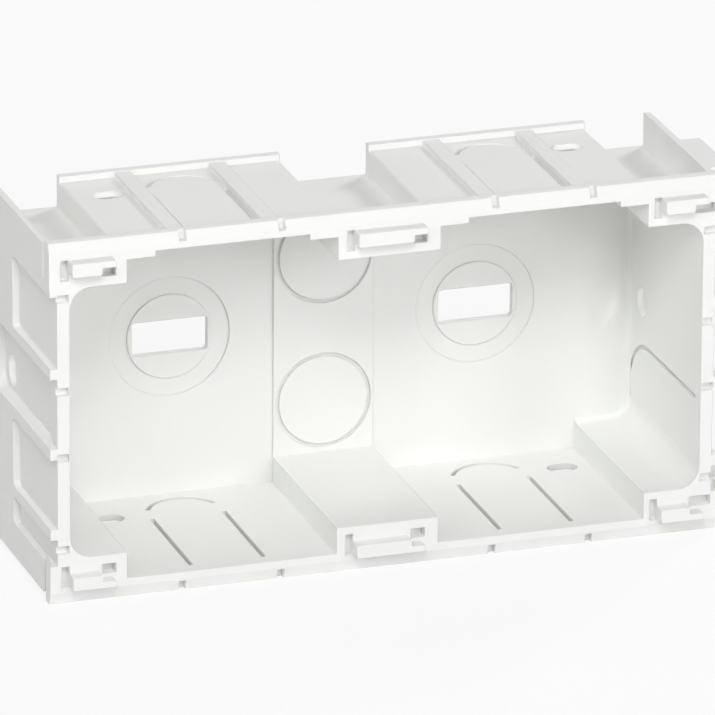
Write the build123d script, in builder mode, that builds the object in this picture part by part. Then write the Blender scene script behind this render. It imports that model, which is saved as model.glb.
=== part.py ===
import os

from build123d import *

os.makedirs("parts", exist_ok=True)

# Two-bay outlet box for wall trunking: one white moulding, open at the front.
# X runs along the box, +Y points to the wall behind it and +Z is up.
# The origin is the middle of the flat rear face, so the open front is at -Y.
# All sizes are in mm.

# overall
rim_length = 141.0
rim_height = 76.0
depth = 43.5
wall = 1.3
rear_wall = 1.5

# bays: the two raised stretches of the top and the bottom, with low stretches beside them
# a drop is how far something stays below the rim's top edge, and above its bottom edge
bay_pitch = 65.2
bay_length = 46.4
bay_drop = 2.7
bay_edge_round = 0.6
low_drop = 8.2
inner_half_length = 66.3
end_half_length = 70.4
section_round = 4.5
end_corner_round = 1.3

# front rim
rim_depth = 3.0
lip_drop = 4.6
relief_drop = 3.4
relief_length = 32.0
corner_pad_height = 9.8
rim_bevel_height = 2.4
rim_bevel_depth = 0.9
notch_spacing = 20.6
notch_width = 1.4
notch_depth = 2.0
notch_length = 1.8
side_notch_drop = 11.5
side_notch_z = 7.0
side_notch_height = 1.6
side_notch_length = 2.4
side_notch_depth = 1.2

# lip of the rear wall, and the plates that stand up at both ends
rear_lip_drop = 1.4
rear_lip_thickness = 1.6
ear_drop = 1.2
ear_thickness = 1.4
ear_front_gap = 5.0

# lugs outside the right end
lug_reach = 4.2
lug_front_gap = 8.0
lug_length = 17.6

# raised ribs outside each bay
rib_spacing = 19.8
rib_width = 3.4
rib_height = 1.0

# knock-out tongue in the top and the bottom of each bay
tongue_width = 15.24
tongue_front_gap = 3.2
tongue_cut_length = 26.3
tongue_arc_from_front = 31.4
tongue_arc_trim = 2.9
cut_width = 0.9

# slotted fixing holes in the top and the bottom
fix_slot_spacing = 97.0
fix_slot_length = 6.4
fix_slot_width = 4.2
fix_slot_from_front = 32.2

# windows in the rear wall, each inside a round knock-out ring
window_width = 16.0
window_height = 7.2
window_round = 0.8
ring_radius = 12.7
ring_inner_radius = 9.0
ring_depth = 0.4

# raised strip in the middle of the rear wall, with two round knock-outs
strip_rise = 0.5
disc_share = 0.33
upper_disc_share = 0.47
lower_disc_share = 0.578
disc_groove_width = 0.7
disc_groove_depth = 0.6

# end walls outside: panels with ribs between them, and a fixing slot
# a share is a part of the height from the middle to the outside of a low stretch
panel_top_share = 0.906
panel_length = 26.0
panel_set_in = 1.5
panel_round = 3.0
end_rib_pitch_share = 0.57
end_rib_fall_share = 0.205
end_rib_width = 2.3
deep_panel_length = 40.0
deep_panel_set_in = 2.8
end_slot_z = -1.0
end_slot_from_front = 35.3
end_slot_length = 6.6
end_slot_width = 5.6

# end walls inside: groove round a knock-out
end_groove_radius = 10.1
end_groove_fall_share = 0.678
end_groove_from_front = 31.5
end_groove_front_gap = 3.0
end_groove_foot_share = 0.789
end_groove_depth = 0.7

# clips in front of the low stretches of the rim, each with a pocket on its left
# and a deeper pocket under the thin right end of its bar
clip_reach = 2.7
clip_drop = 3.5
clip_height = 2.9
clip_round = 0.4
clip_end_length = 2.9
clip_end_height = 1.4
mid_clip_width = 14.5
end_clip_x = 61.95
end_clip_width = 9.1
pocket_width = 1.6
pocket_height = 4.4
pocket_depth = 1.5
hole_lap = 2.3
hole_length = 2.9
right_hole_length = 4.6
hole_height = 2.0
hole_foot_gap = 0.6
hole_depth = 2.0

# values that follow from those above
rim_half_height = rim_height / 2
bay_half_height = rim_half_height - bay_drop
low_half_height = rim_half_height - low_drop
rear_lip_half_height = rim_half_height - rear_lip_drop
ear_half_height = rim_half_height - ear_drop
lip_half_height = rim_half_height - lip_drop
relief_half_height = rim_half_height - relief_drop
bay_x = bay_pitch / 2
hollow_bay_length = bay_length - 2 * wall
hollow_bay_half_height = bay_half_height - wall
hollow_low_half_height = low_half_height - wall
strip_length = bay_pitch - hollow_bay_length
side_half_length = end_half_length - panel_set_in
tongue_radius = tongue_width / 2
end_wall = end_half_length - inner_half_length
disc_radius = disc_share * low_half_height
disc_zs = (upper_disc_share * low_half_height, -lower_disc_share * low_half_height)
panel_top = panel_top_share * low_half_height
end_rib_pitch = end_rib_pitch_share * low_half_height
end_rib_middle = -end_rib_fall_share * low_half_height
end_groove_z = -end_groove_fall_share * low_half_height
end_groove_foot = -end_groove_foot_share * low_half_height
side_notch_far_z = rim_half_height - side_notch_drop
side_notch_zs = (side_notch_far_z, side_notch_z, -side_notch_z, -side_notch_far_z)
clip_outer = rim_half_height - clip_drop
clip_inner = clip_outer - clip_height

# work planes: on those that face the front, local X is X and local Y is Z
rear_plane = Plane.XZ
rear_inner_plane = Plane.XZ.offset(rear_wall)
strip_plane = Plane.XZ.offset(rear_wall + strip_rise)
rim_back_plane = Plane.XZ.offset(depth - rim_depth)
front_plane = Plane.XZ.offset(depth)
floor_plane = Plane.XY.offset(-rim_half_height)
side_plane = Plane.YZ
end_plane = Plane(origin=(end_half_length, 0, 0), x_dir=(0, 1, 0), z_dir=(1, 0, 0))
end_inner_plane = Plane(origin=(inner_half_length, 0, 0), x_dir=(0, 1, 0), z_dir=(1, 0, 0))


def behind_front(distance):
    """Y of a point that lies this far behind the rim's front."""
    return distance - depth


def at_bays(y=0.0, offsets=(0.0,)):
    """Places at both bays, moved along X by each of the offsets."""
    return [(side * bay_x + dx, y) for side in (-1, 1) for dx in offsets]


# hollow behind the rim, and the opening through the rim
with BuildPart() as hollow:
    with BuildSketch(rim_back_plane):
        Rectangle(2 * inner_half_length, 2 * hollow_low_half_height)
        fillet(vertices(), section_round)
        with Locations(*at_bays()):
            Rectangle(hollow_bay_length, 2 * hollow_bay_half_height)
    extrude(amount=-(depth - rim_depth - rear_wall))
    rear_edges = hollow.faces().sort_by(Axis.Y)[-1].edges().filter_by(Axis.Z)
    rear_ends = rear_edges.group_by(Axis.X)
    fillet(rear_ends[0] + rear_ends[-1], end_corner_round)
    with BuildSketch(front_plane):
        Rectangle(2 * inner_half_length, 2 * hollow_low_half_height)
        fillet(vertices(), section_round)
        for width, top in ((hollow_bay_length, lip_half_height), (relief_length, relief_half_height)):
            with Locations(*at_bays((top - hollow_bay_half_height) / 2)):
                Rectangle(width, top + hollow_bay_half_height)
    extrude(amount=-rim_depth)

# cuts in the right end wall, mirrored for the left one
with BuildPart() as end_cuts:
    ribs = [end_rib_middle + step * end_rib_pitch for step in (1, 0, -1)]
    tops = [panel_top] + [z - end_rib_width / 2 for z in ribs]
    feet = [z + end_rib_width / 2 for z in ribs] + [-low_half_height]
    with BuildSketch(end_plane):
        for top, foot in zip(tops, feet):
            with Locations((behind_front(panel_length / 2), (top + foot) / 2)):
                Rectangle(panel_length, top - foot)
        fillet(vertices().group_by(Axis.X)[-1], panel_round / 2)
    extrude(amount=-panel_set_in)
    with BuildSketch(end_plane):
        with Locations((behind_front((deep_panel_length + rim_depth) / 2), (tops[1] + feet[1]) / 2)):
            Rectangle(deep_panel_length - rim_depth, tops[1] - feet[1])
        fillet(vertices().group_by(Axis.X)[-1], panel_round)
    extrude(amount=-deep_panel_set_in)
    with BuildSketch(end_plane):
        with Locations((behind_front(end_slot_from_front), end_slot_z)):
            SlotOverall(end_slot_length, end_slot_width, rotation=90)
    extrude(amount=-end_wall)
    # groove of the knock-out on the inner face
    with BuildSketch(end_inner_plane):
        with Locations((behind_front(end_groove_from_front), end_groove_z)):
            Circle(end_groove_radius + cut_width / 2)
            Circle(end_groove_radius - cut_width / 2, mode=Mode.SUBTRACT)
            Rectangle(
                2 * end_groove_radius, 4 * end_groove_radius,
                align=(Align.MAX, Align.CENTER), mode=Mode.SUBTRACT,
            )
        with Locations((behind_front(end_groove_from_front), end_groove_foot)):
            Rectangle(
                4 * end_groove_radius, 2 * end_groove_radius,
                align=(Align.CENTER, Align.MAX), mode=Mode.SUBTRACT,
            )
        straight = end_groove_from_front - end_groove_front_gap
        with Locations((behind_front(end_groove_front_gap), end_groove_z + end_groove_radius)):
            Rectangle(straight, cut_width, align=(Align.MIN, Align.CENTER))
    extrude(amount=end_groove_depth)
    mirror(about=Plane.YZ)

with BuildPart() as outlet_box:
    # body: low at the ends and in the middle, raised along the two bays
    with BuildSketch(rear_plane):
        Rectangle(2 * end_half_length, 2 * low_half_height)
        with Locations(*at_bays()):
            RectangleRounded(bay_length, 2 * bay_half_height, bay_edge_round)
    extrude(amount=depth)

    # raised ribs along the outside of the bays
    with BuildSketch(rear_plane):
        with Locations(*at_bays(offsets=(-rib_spacing / 2, rib_spacing / 2))):
            Rectangle(rib_width, 2 * (bay_half_height + rib_height))
    extrude(amount=depth)

    # lip of the rear wall
    with BuildSketch(rear_plane):
        with Locations(*at_bays()):
            Rectangle(bay_length, 2 * rear_lip_half_height)
    extrude(amount=rear_lip_thickness)

    # plates that stand up and down at both ends
    with BuildSketch(rear_plane):
        with GridLocations(2 * end_half_length - ear_thickness, 1, 2, 1):
            Rectangle(ear_thickness, 2 * ear_half_height)
    extrude(amount=depth - ear_front_gap)

    # lugs outside the right end, level with the plates there
    with BuildSketch(Plane.XZ.offset(depth - lug_front_gap - lug_length)):
        lug_height = ear_half_height - low_half_height
        with Locations((end_half_length, low_half_height)):
            Rectangle(lug_reach, lug_height, align=(Align.MIN, Align.MIN))
        with Locations((end_half_length, -low_half_height)):
            Rectangle(lug_reach, lug_height, align=(Align.MIN, Align.MAX))
    extrude(amount=lug_length)

    # front rim, set in at both ends between the corner pads, with notches along the bays
    with BuildSketch(front_plane):
        Rectangle(2 * side_half_length, rim_height)
        with Locations((0, rim_half_height)):
            Rectangle(rim_length, corner_pad_height, align=(Align.CENTER, Align.MAX))
        with Locations((0, -rim_half_height)):
            Rectangle(rim_length, corner_pad_height, align=(Align.CENTER, Align.MIN))
    extrude(amount=-rim_depth)
    with BuildSketch(front_plane):
        for side in (-1, 1):
            notch_middle = side * (rim_half_height - notch_depth / 2)
            with Locations(*at_bays(notch_middle, (-notch_spacing / 2, notch_spacing / 2))):
                Rectangle(notch_width, notch_depth)
    extrude(amount=-notch_length, mode=Mode.SUBTRACT)

    # bevels along the upper and the lower front edge of the rim
    with BuildSketch(side_plane):
        for side in (-1, 1):
            edge_z = side * rim_half_height
            bevel_foot = (-depth, edge_z - side * rim_bevel_height)
            with BuildLine():
                Polyline(bevel_foot, (-depth, edge_z), (rim_bevel_depth - depth, edge_z), close=True)
            make_face()
    extrude(amount=rim_length / 2, both=True, mode=Mode.SUBTRACT)

    add(hollow.part, mode=Mode.SUBTRACT)
    add(end_cuts.part, mode=Mode.SUBTRACT)

    # shallow notches in the sides of the rim
    with BuildSketch(front_plane):
        for side in (-1, 1):
            middle = side * (side_half_length - side_notch_length / 2)
            with Locations(*[(middle, z) for z in side_notch_zs]):
                Rectangle(side_notch_length, side_notch_height)
    extrude(amount=-side_notch_depth, mode=Mode.SUBTRACT)

    # clip bars, lower at the right end, above and below
    clips = (
        (-end_clip_x, end_clip_width, hole_length),
        (0, mid_clip_width, hole_length),
        (end_clip_x, end_clip_width, right_hole_length),
    )
    with BuildSketch(front_plane):
        for x, width, _ in clips:
            left = x - width / 2
            bar_length = width - clip_end_length
            for side in (-1, 1):
                with Locations((left + bar_length / 2, side * (clip_outer - clip_height / 2))):
                    RectangleRounded(bar_length, clip_height, clip_round)
                with Locations((x, side * (clip_outer - clip_end_height / 2))):
                    RectangleRounded(width, clip_end_height, clip_round)
    extrude(amount=clip_reach)

    # pockets on the left of the bars
    with BuildSketch(front_plane):
        for x, width, _ in clips:
            pocket_x = x - (width + pocket_width) / 2
            pocket_middle = clip_outer - pocket_height / 2
            with Locations((pocket_x, pocket_middle), (pocket_x, -pocket_middle)):
                Rectangle(pocket_width, pocket_height)
    extrude(amount=-pocket_depth, mode=Mode.SUBTRACT)

    # deeper pockets at the right end of the bars
    with BuildSketch(front_plane):
        for x, width, length in clips:
            hole_x = x + width / 2 - hole_lap + length / 2
            hole_middle = low_half_height + hole_foot_gap + hole_height / 2
            with Locations((hole_x, hole_middle), (hole_x, -hole_middle)):
                Rectangle(length, hole_height)
    extrude(amount=-hole_depth, mode=Mode.SUBTRACT)

    # straight cuts beside the tongues, through the top and the bottom
    with BuildSketch(floor_plane):
        cut_y = behind_front(tongue_front_gap + tongue_cut_length / 2)
        with Locations(*at_bays(cut_y, (-tongue_radius, tongue_radius))):
            Rectangle(cut_width, tongue_cut_length)
    extrude(amount=rim_height, mode=Mode.SUBTRACT)

    # arc cuts behind the tongues
    with BuildSketch(floor_plane):
        arc_y = behind_front(tongue_arc_from_front)
        with Locations(*at_bays(arc_y)):
            Circle(tongue_radius + cut_width / 2)
            Circle(tongue_radius - cut_width / 2, mode=Mode.SUBTRACT)
        with Locations(*at_bays(arc_y + tongue_arc_trim)):
            Rectangle(
                2 * tongue_width, 2 * tongue_width,
                align=(Align.CENTER, Align.MAX), mode=Mode.SUBTRACT,
            )
    extrude(amount=rim_height, mode=Mode.SUBTRACT)

    # slotted fixing holes
    with BuildSketch(floor_plane):
        fix_y = behind_front(fix_slot_from_front)
        with Locations((-fix_slot_spacing / 2, fix_y), (fix_slot_spacing / 2, fix_y)):
            SlotOverall(fix_slot_length, fix_slot_width)
    extrude(amount=rim_height, mode=Mode.SUBTRACT)

    # windows and the rings round them
    with BuildSketch(rear_inner_plane):
        with Locations(*at_bays()):
            Circle(ring_radius)
            Circle(ring_inner_radius, mode=Mode.SUBTRACT)
    extrude(amount=-ring_depth, mode=Mode.SUBTRACT)
    with BuildSketch(rear_plane):
        with Locations(*at_bays()):
            RectangleRounded(window_width, window_height, window_round)
    extrude(amount=rear_wall, mode=Mode.SUBTRACT)

    # raised strip in the middle of the rear wall, with the grooves of two knock-outs
    with BuildSketch(rear_inner_plane):
        Rectangle(strip_length, 2 * hollow_low_half_height)
    extrude(amount=strip_rise)
    with BuildSketch(strip_plane):
        with Locations(*[(0, z) for z in disc_zs]):
            Circle(disc_radius + disc_groove_width / 2)
            Circle(disc_radius - disc_groove_width / 2, mode=Mode.SUBTRACT)
    extrude(amount=-disc_groove_depth, mode=Mode.SUBTRACT)

outlet_box.part.label = "outlet_box"
export_step(outlet_box.part, "parts/outlet_box.step")
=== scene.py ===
import math

import bpy
from mathutils import Euler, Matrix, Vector


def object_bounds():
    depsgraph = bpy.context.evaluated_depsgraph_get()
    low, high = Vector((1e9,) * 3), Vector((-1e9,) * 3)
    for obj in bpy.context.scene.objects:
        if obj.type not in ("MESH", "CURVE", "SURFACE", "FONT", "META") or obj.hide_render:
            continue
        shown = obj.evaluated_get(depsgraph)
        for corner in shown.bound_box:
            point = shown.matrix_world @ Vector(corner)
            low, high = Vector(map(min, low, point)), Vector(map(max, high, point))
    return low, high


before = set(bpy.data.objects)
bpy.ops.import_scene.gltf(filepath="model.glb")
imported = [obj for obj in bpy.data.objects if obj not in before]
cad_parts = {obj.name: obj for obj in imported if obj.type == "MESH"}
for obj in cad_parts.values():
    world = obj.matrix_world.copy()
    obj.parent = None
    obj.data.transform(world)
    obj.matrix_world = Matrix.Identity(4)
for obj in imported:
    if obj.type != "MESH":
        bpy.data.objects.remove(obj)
cad_low, cad_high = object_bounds()
MM = 0.001

# camera
# A long lens, 18.5 degrees round to the left end and 20.5 degrees above.
CAMERA_AT = (-618.44 * MM, -1875.69 * MM, 729.34 * MM)
CAMERA_YAW = -0.3223
CAMERA_PITCH = 0.3576
CAMERA_ROLL = 0.0071
CAMERA_LENS = 522.33
SENSOR_WIDTH = 36.0

# light: square soft boxes, each given by degrees round from the front towards the right end,
# degrees above the horizon, width in metres and watts
LAMPS = (
    ("left_high", -30.0, 42.0, 0.7, 4.3),
    ("front_high", -17.0, 41.0, 0.3, 4.0),
    ("front_low", 10.0, 20.0, 0.3, 3.0),
    ("right_low", 38.0, 20.0, 0.3, 2.5),
    ("left_side", -60.0, 20.0, 0.3, 1.9),
    ("rear_right", 127.0, 35.0, 0.3, 5.8),
    ("rear_left", -133.0, 42.0, 0.7, 3.3),
)
LAMP_DISTANCE = 1.3
AMBIENT = 0.02
WHITE = (1.0, 1.0, 1.0, 1.0)
FLOOR_SIZE = 6.0
FLOOR_GREY = 0.92
FLOOR_GAP = 0.05 * MM
FLOOR_WHITE_SHARE = 0.84

# plastic
PLASTIC = (0.905, 0.910, 0.893, 1.0)
PLASTIC_WARM = (0.887, 0.892, 0.870, 1.0)
ROUGHNESS = 0.58
ROUGHNESS_LOW = 0.52
ROUGHNESS_HIGH = 0.66
REFRACTIVE_INDEX = 1.49
SPECULAR_LEVEL = 0.3
FLOW_SCALE = 28.0
FLOW_DETAIL = 3.0
FLOW_ROUGHNESS = 0.55
SATIN_SCALE = 90.0
SATIN_DETAIL = 4.0
GRAIN_SCALE = 1600.0
GRAIN_DETAIL = 2.0
GRAIN_STRENGTH = 0.08
GRAIN_DEPTH = 0.05 * MM
EDGE_RADIUS = 0.35 * MM
EDGE_SAMPLES = 6


def add_node(tree, kind, **values):
    """A shader node with its sockets or properties set by name."""
    node = tree.nodes.new(kind)
    for name, value in values.items():
        if name in node.inputs:
            node.inputs[name].default_value = value
        else:
            setattr(node, name, value)
    return node


def moulded_plastic(name):
    """White moulded plastic: slight tone changes, a fine spark-eroded grain and softened edges."""
    material = bpy.data.materials.new(name)
    material.use_nodes = True
    tree = material.node_tree
    link = tree.links.new
    shader = tree.nodes["Principled BSDF"]
    shader.inputs["Roughness"].default_value = ROUGHNESS
    shader.inputs["IOR"].default_value = REFRACTIVE_INDEX
    shader.inputs["Specular IOR Level"].default_value = SPECULAR_LEVEL
    place = add_node(tree, "ShaderNodeTexCoord")

    # slow tone change, as from the flow of the plastic in the mould
    flow = add_node(tree, "ShaderNodeTexNoise")
    flow.inputs["Scale"].default_value = FLOW_SCALE
    flow.inputs["Detail"].default_value = FLOW_DETAIL
    flow.inputs["Roughness"].default_value = FLOW_ROUGHNESS
    link(place.outputs["Object"], flow.inputs["Vector"])
    tone = tree.nodes.new("ShaderNodeMix")
    tone.data_type = "RGBA"
    tone.inputs["A"].default_value = PLASTIC
    tone.inputs["B"].default_value = PLASTIC_WARM
    link(flow.outputs["Fac"], tone.inputs["Factor"])
    link(tone.outputs["Result"], shader.inputs["Base Color"])

    # satin patches: roughness wanders a little
    satin = add_node(tree, "ShaderNodeTexNoise")
    satin.inputs["Scale"].default_value = SATIN_SCALE
    satin.inputs["Detail"].default_value = SATIN_DETAIL
    link(place.outputs["Object"], satin.inputs["Vector"])
    spread = tree.nodes.new("ShaderNodeMapRange")
    spread.inputs["To Min"].default_value = ROUGHNESS_LOW
    spread.inputs["To Max"].default_value = ROUGHNESS_HIGH
    link(satin.outputs["Fac"], spread.inputs["Value"])
    link(spread.outputs["Result"], shader.inputs["Roughness"])

    # fine grain over softened edges
    grain = add_node(tree, "ShaderNodeTexNoise")
    grain.inputs["Scale"].default_value = GRAIN_SCALE
    grain.inputs["Detail"].default_value = GRAIN_DETAIL
    link(place.outputs["Object"], grain.inputs["Vector"])
    soft_edge = tree.nodes.new("ShaderNodeBevel")
    soft_edge.samples = EDGE_SAMPLES
    soft_edge.inputs["Radius"].default_value = EDGE_RADIUS
    bump = tree.nodes.new("ShaderNodeBump")
    bump.inputs["Strength"].default_value = GRAIN_STRENGTH
    bump.inputs["Distance"].default_value = GRAIN_DEPTH
    link(grain.outputs["Fac"], bump.inputs["Height"])
    link(soft_edge.outputs["Normal"], bump.inputs["Normal"])
    link(bump.outputs["Normal"], shader.inputs["Normal"])
    return material


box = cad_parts["outlet_box"]
box.data.materials.clear()
box.data.materials.append(moulded_plastic("white_plastic"))


# stage
def math_node(tree, operation, first, second):
    """A Math node of two inputs, each of them a socket or a number."""
    node = tree.nodes.new("ShaderNodeMath")
    node.operation = operation
    for socket, value in zip(node.inputs, (first, second)):
        if isinstance(value, float):
            socket.default_value = value
        else:
            tree.links.new(value, socket)
    return node.outputs[0]


def seen_rays(tree):
    """1 for rays that the camera sees, directly, in gloss or through glass, and 0 for the rest."""
    path = tree.nodes.new("ShaderNodeLightPath")
    seen = math_node(tree, "MAXIMUM", path.outputs["Is Camera Ray"], path.outputs["Is Glossy Ray"])
    return math_node(tree, "MAXIMUM", seen, path.outputs["Is Transmission Ray"])


def make_floor():
    """Pale floor under the box: mostly white to the camera, with the box's shadow kept."""
    half = FLOOR_SIZE / 2
    z = cad_low.z - FLOOR_GAP
    mesh = bpy.data.meshes.new("floor")
    corners = [(-half, -half, z), (half, -half, z), (half, half, z), (-half, half, z)]
    mesh.from_pydata(corners, [], [(0, 1, 2, 3)])
    floor = bpy.data.objects.new("floor", mesh)
    bpy.context.scene.collection.objects.link(floor)
    material = bpy.data.materials.new("pale_floor")
    material.use_nodes = True
    tree = material.node_tree
    tree.nodes.clear()
    diffuse = add_node(tree, "ShaderNodeBsdfDiffuse", Color=(FLOOR_GREY, FLOOR_GREY, FLOOR_GREY, 1.0))
    white = add_node(tree, "ShaderNodeEmission", Strength=1.0)
    mix = tree.nodes.new("ShaderNodeMixShader")
    output = tree.nodes.new("ShaderNodeOutputMaterial")
    tree.links.new(math_node(tree, "MULTIPLY", seen_rays(tree), FLOOR_WHITE_SHARE), mix.inputs[0])
    tree.links.new(diffuse.outputs[0], mix.inputs[1])
    tree.links.new(white.outputs[0], mix.inputs[2])
    tree.links.new(mix.outputs[0], output.inputs["Surface"])
    floor.data.materials.append(material)


def make_world():
    """Soft even light from all round, seen as white."""
    world = bpy.data.worlds.new("studio")
    bpy.context.scene.world = world
    world.use_nodes = True
    tree = world.node_tree
    tree.nodes.clear()
    soft = add_node(tree, "ShaderNodeBackground", Strength=AMBIENT, Color=WHITE)
    white = add_node(tree, "ShaderNodeBackground", Strength=1.0, Color=WHITE)
    mix = tree.nodes.new("ShaderNodeMixShader")
    output = tree.nodes.new("ShaderNodeOutputWorld")
    tree.links.new(seen_rays(tree), mix.inputs[0])
    tree.links.new(soft.outputs[0], mix.inputs[1])
    tree.links.new(white.outputs[0], mix.inputs[2])
    tree.links.new(mix.outputs[0], output.inputs["Surface"])


def make_lamp(name, azimuth, elevation, width, power):
    """A square soft box that looks at the middle of the object."""
    turn, rise = math.radians(azimuth), math.radians(elevation)
    direction = Vector((math.sin(turn) * math.cos(rise), -math.cos(turn) * math.cos(rise), math.sin(rise)))
    lamp = bpy.data.lights.new(name, "AREA")
    lamp.shape = "SQUARE"
    lamp.size = width
    lamp.energy = power
    holder = bpy.data.objects.new(name, lamp)
    holder.location = (cad_low + cad_high) / 2 + direction * LAMP_DISTANCE
    holder.rotation_euler = (-direction).to_track_quat("-Z", "Y").to_euler()
    bpy.context.scene.collection.objects.link(holder)


def make_camera():
    """The photograph's view."""
    lens = bpy.data.cameras.new("camera")
    lens.lens = CAMERA_LENS
    lens.sensor_width = SENSOR_WIDTH
    lens.dof.use_dof = False
    camera = bpy.data.objects.new("camera", lens)
    turn = Euler((math.pi / 2 - CAMERA_PITCH, 0.0, CAMERA_YAW), "XYZ").to_matrix()
    roll = Euler((0.0, 0.0, CAMERA_ROLL), "XYZ").to_matrix()
    camera.rotation_euler = (turn @ roll).to_euler()
    camera.location = CAMERA_AT
    bpy.context.scene.collection.objects.link(camera)
    bpy.context.scene.camera = camera


make_floor()
make_world()
for lamp_values in LAMPS:
    make_lamp(*lamp_values)
make_camera()
bpy.context.scene.view_settings.view_transform = "Standard"
